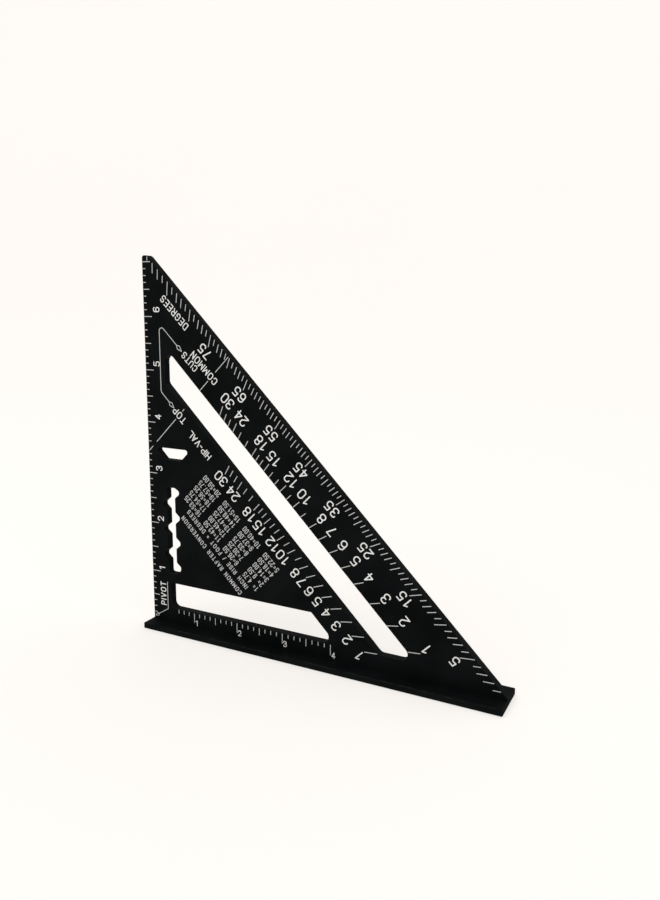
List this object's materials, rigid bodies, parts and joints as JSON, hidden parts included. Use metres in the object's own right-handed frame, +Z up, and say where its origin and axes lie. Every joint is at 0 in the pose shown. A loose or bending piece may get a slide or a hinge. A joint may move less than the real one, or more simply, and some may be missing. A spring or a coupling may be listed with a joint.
{
  "type": "speed square",
  "caption": "Triangular rafter angle square: a flat black blade with windows and white degree, rafter and inch scales, standing on a guide fence.",
  "frame": {"origin": "middle of the fence's underside, on the surface that the square stands on", "axes": "+X along the fence from the pivot end to the far end, +Y through the blade from its printed face to its plain face, +Z up the blade's guide edge"},
  "size_m": [0.1832, 0.021, 0.1838],
  "materials": {
    "black_anodised": "matte black anodised, fine grain",
    "white_print": "matte white print"
  },
  "bodies": {
    "root": {"blade": "black_anodised", "fence": "black_anodised", "edge_inch_ticks": "white_print", "edge_inch_numerals": "white_print", "rule_inch_ticks": "white_print", "rule_inch_numerals": "white_print", "degree_ticks": "white_print", "degree_numerals": "white_print", "degrees_legend": "white_print", "common_ticks": "white_print", "common_numerals": "white_print", "common_legend": "white_print", "hip_val_ticks": "white_print", "hip_val_numerals": "white_print", "hip_val_legend": "white_print", "top_legend": "white_print", "cuts_legend": "white_print", "cuts_guide_line": "white_print", "top_leader_line": "white_print", "pivot_legend": "white_print", "pivot_pointer": "white_print", "conversion_title": "white_print", "conversion_table": "white_print"}
  },
  "joints": []
}
